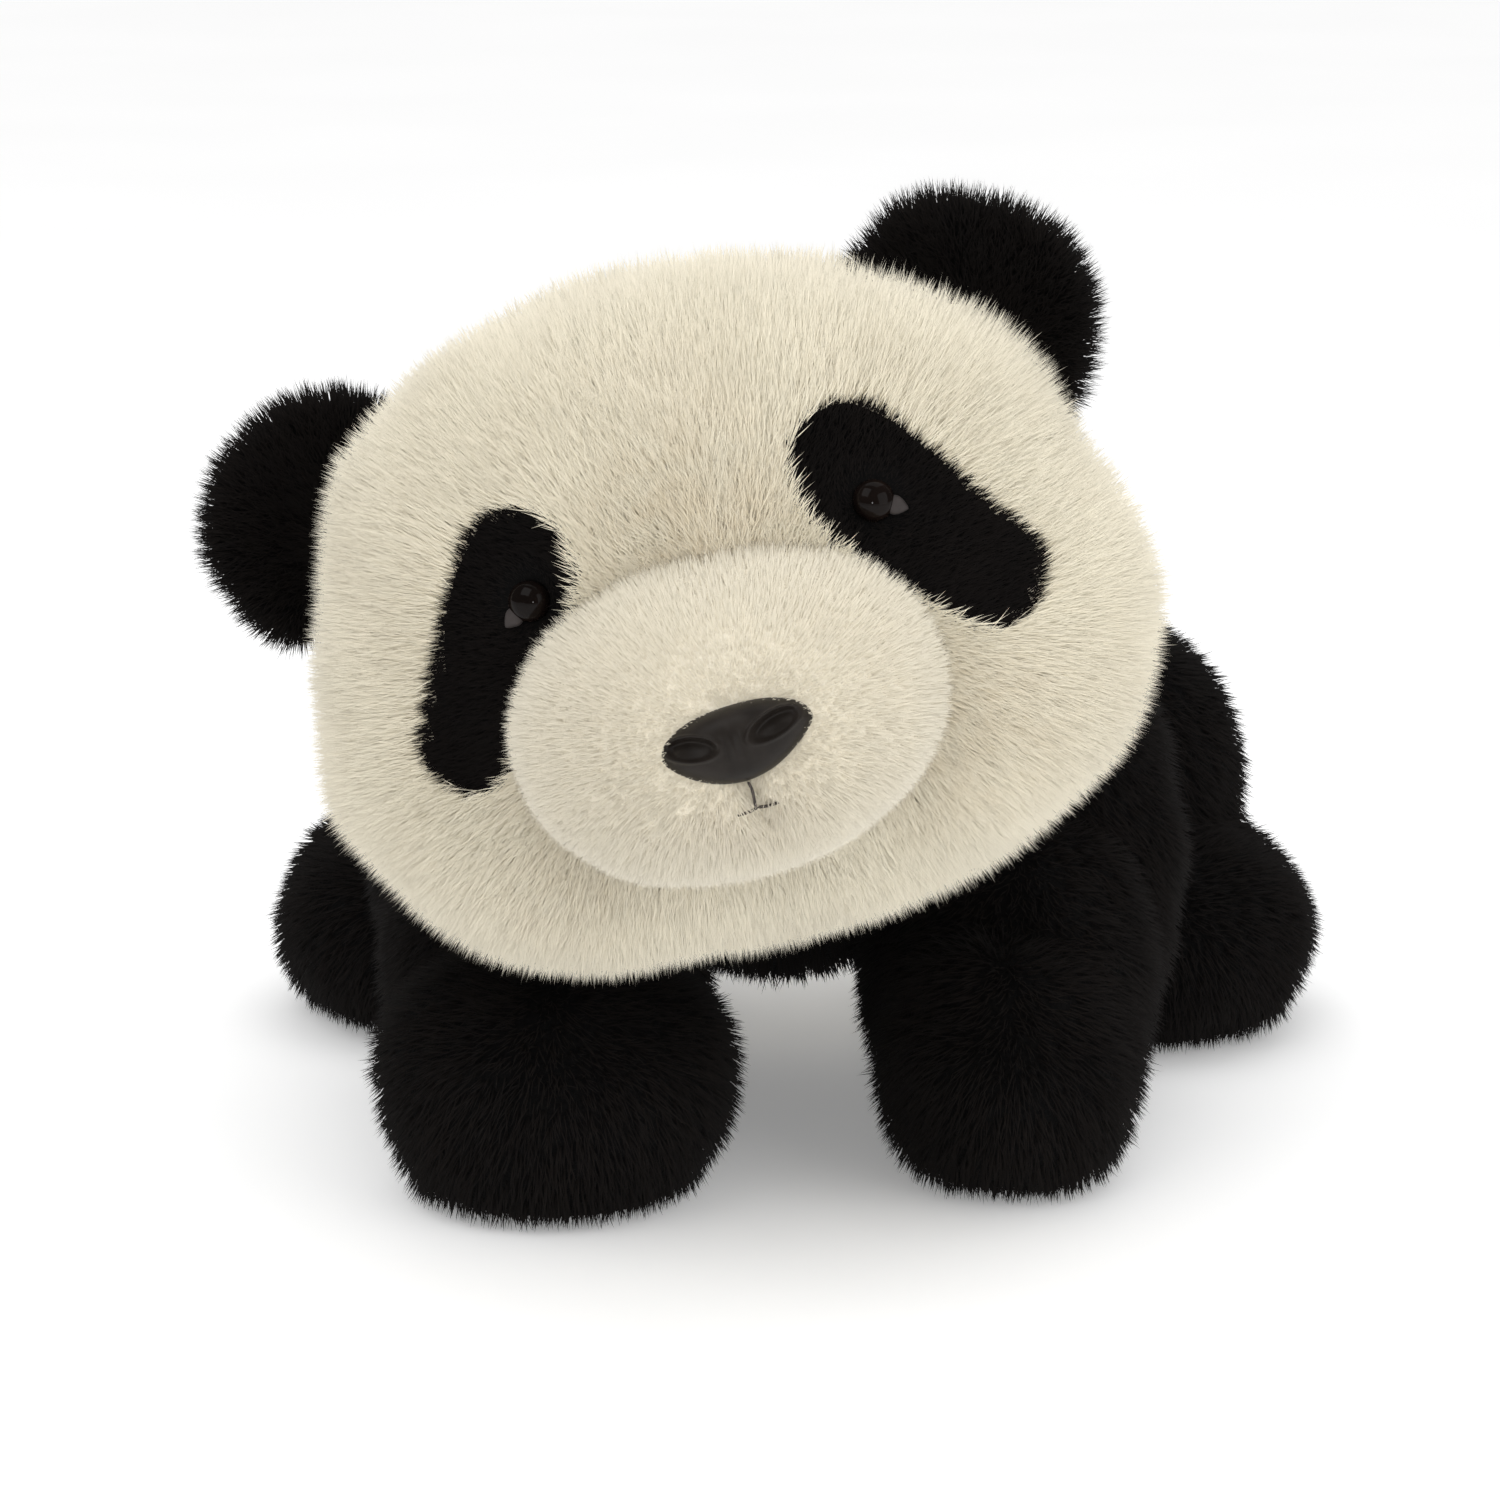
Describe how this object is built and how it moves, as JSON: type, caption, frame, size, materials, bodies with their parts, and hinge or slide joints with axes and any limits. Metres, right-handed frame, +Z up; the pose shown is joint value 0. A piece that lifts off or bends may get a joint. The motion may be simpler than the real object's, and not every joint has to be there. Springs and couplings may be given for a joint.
{
  "type": "plush panda",
  "caption": "Stuffed plush panda standing on all fours with its head tilted; head, legs, ears and tail flex.",
  "frame": {"origin": "centre of the footprint of the whole toy, on the floor", "axes": "the face looks along -Y, +X is the toy's left side, +Z is up"},
  "size_m": [0.278, 0.3856, 0.2414],
  "materials": {
    "cream_pile": "long soft pile",
    "muzzle_pile": "short soft pile",
    "black_pile": "soft pile",
    "eye_gloss": "polished",
    "eye_corner": "satin",
    "nose_plastic": "satin",
    "thread_dark": "twisted thread",
    "thread_cream": "twisted thread",
    "fibre_fill": "loose fibre",
    "washer_plastic": "moulded",
    "pellets": "loose pellets"
  },
  "bodies": {
    "torso": {"shoulder_skin": "black_pile", "back_skin": "cream_pile", "torso_stuffing": "fibre_fill", "closing_seam": "thread_cream"},
    "neck_outer": {"neck_sleeve": "black_pile"},
    "neck_inner": {"neck_stuffing": "fibre_fill"},
    "head": {"head_skin": "cream_pile", "head_stuffing": "fibre_fill", "muzzle_skin": "muzzle_pile", "muzzle_stuffing": "fibre_fill", "eye_patch_left": "black_pile", "eye_patch_right": "black_pile", "eye_left": "eye_gloss", "eye_right": "eye_gloss", "eye_corner_left": "eye_corner", "eye_corner_right": "eye_corner", "eye_washer_left": "washer_plastic", "eye_washer_right": "washer_plastic", "nose": "nose_plastic", "nose_washer": "washer_plastic", "mouth_stitch": "thread_dark"},
    "ear_left": {"ear_left_front": "black_pile", "ear_left_back": "black_pile"},
    "ear_right": {"ear_right_front": "black_pile", "ear_right_back": "black_pile"},
    "foreleg_left": {"foreleg_left_skin": "black_pile", "foreleg_left_stuffing": "fibre_fill", "foreleg_left_sole": "black_pile", "foreleg_left_pellets": "pellets"},
    "foreleg_right": {"foreleg_right_skin": "black_pile", "foreleg_right_stuffing": "fibre_fill", "foreleg_right_sole": "black_pile", "foreleg_right_pellets": "pellets"},
    "hindleg_left": {"hindleg_left_skin": "black_pile", "hindleg_left_stuffing": "fibre_fill", "hindleg_left_sole": "black_pile", "hindleg_left_pellets": "pellets"},
    "hindleg_right": {"hindleg_right_skin": "black_pile", "hindleg_right_stuffing": "fibre_fill", "hindleg_right_sole": "black_pile", "hindleg_right_pellets": "pellets"},
    "tail": {"tail_skin": "cream_pile", "tail_stuffing": "fibre_fill"}
  },
  "joints": [
    {"name": "head_turn", "type": "hinge", "parent": "torso", "child": "neck_outer", "pos_m": [0.0029, -0.02773, 0.12337], "axis": [0, 0, 1], "range_deg": [-7, 10], "stiffness_Nm_per_rad": 0.6},
    {"name": "head_nod", "type": "hinge", "parent": "neck_outer", "child": "neck_inner", "pos_m": [0.0029, -0.02773, 0.12337], "axis": [-1, 0, 0], "range_deg": [-3, 12], "stiffness_Nm_per_rad": 0.9},
    {"name": "head_tilt", "type": "hinge", "parent": "neck_inner", "child": "head", "pos_m": [0.0029, -0.02773, 0.12337], "axis": [0, 1, 0], "range_deg": [-1, 24], "stiffness_Nm_per_rad": 0.6},
    {"name": "ear_left_fold", "type": "hinge", "parent": "head", "child": "ear_left", "pos_m": [0.0504, -0.0701, 0.21313], "axis": [0.9697, 0.0339, -0.2419], "range_deg": [-18, 18], "stiffness_Nm_per_rad": 0.02},
    {"name": "ear_right_fold", "type": "hinge", "parent": "head", "child": "ear_right", "pos_m": [-0.09497, -0.07517, 0.16586], "axis": [0.6424, 0.0224, 0.766], "range_deg": [-18, 18], "stiffness_Nm_per_rad": 0.02},
    {"name": "foreleg_left_turn", "type": "hinge", "parent": "torso", "child": "foreleg_left", "pos_m": [0.06, 0.029, 0.06], "axis": [0, 0, 1], "range_deg": [-4, 22], "stiffness_Nm_per_rad": 0.4},
    {"name": "foreleg_right_turn", "type": "hinge", "parent": "torso", "child": "foreleg_right", "pos_m": [-0.06, 0.029, 0.06], "axis": [0, 0, -1], "range_deg": [-4, 22], "stiffness_Nm_per_rad": 0.4},
    {"name": "hindleg_left_turn", "type": "hinge", "parent": "torso", "child": "hindleg_left", "pos_m": [0.084, 0.133, 0.062], "axis": [0, 0, 1], "range_deg": [-8, 22], "stiffness_Nm_per_rad": 0.4},
    {"name": "hindleg_right_turn", "type": "hinge", "parent": "torso", "child": "hindleg_right", "pos_m": [-0.084, 0.133, 0.062], "axis": [0, 0, -1], "range_deg": [-8, 22], "stiffness_Nm_per_rad": 0.4},
    {"name": "tail_wag", "type": "hinge", "parent": "torso", "child": "tail", "pos_m": [0, 0.177, 0.112], "axis": [0, 0, 1], "range_deg": [-15, 15], "stiffness_Nm_per_rad": 0.02}
  ]
}
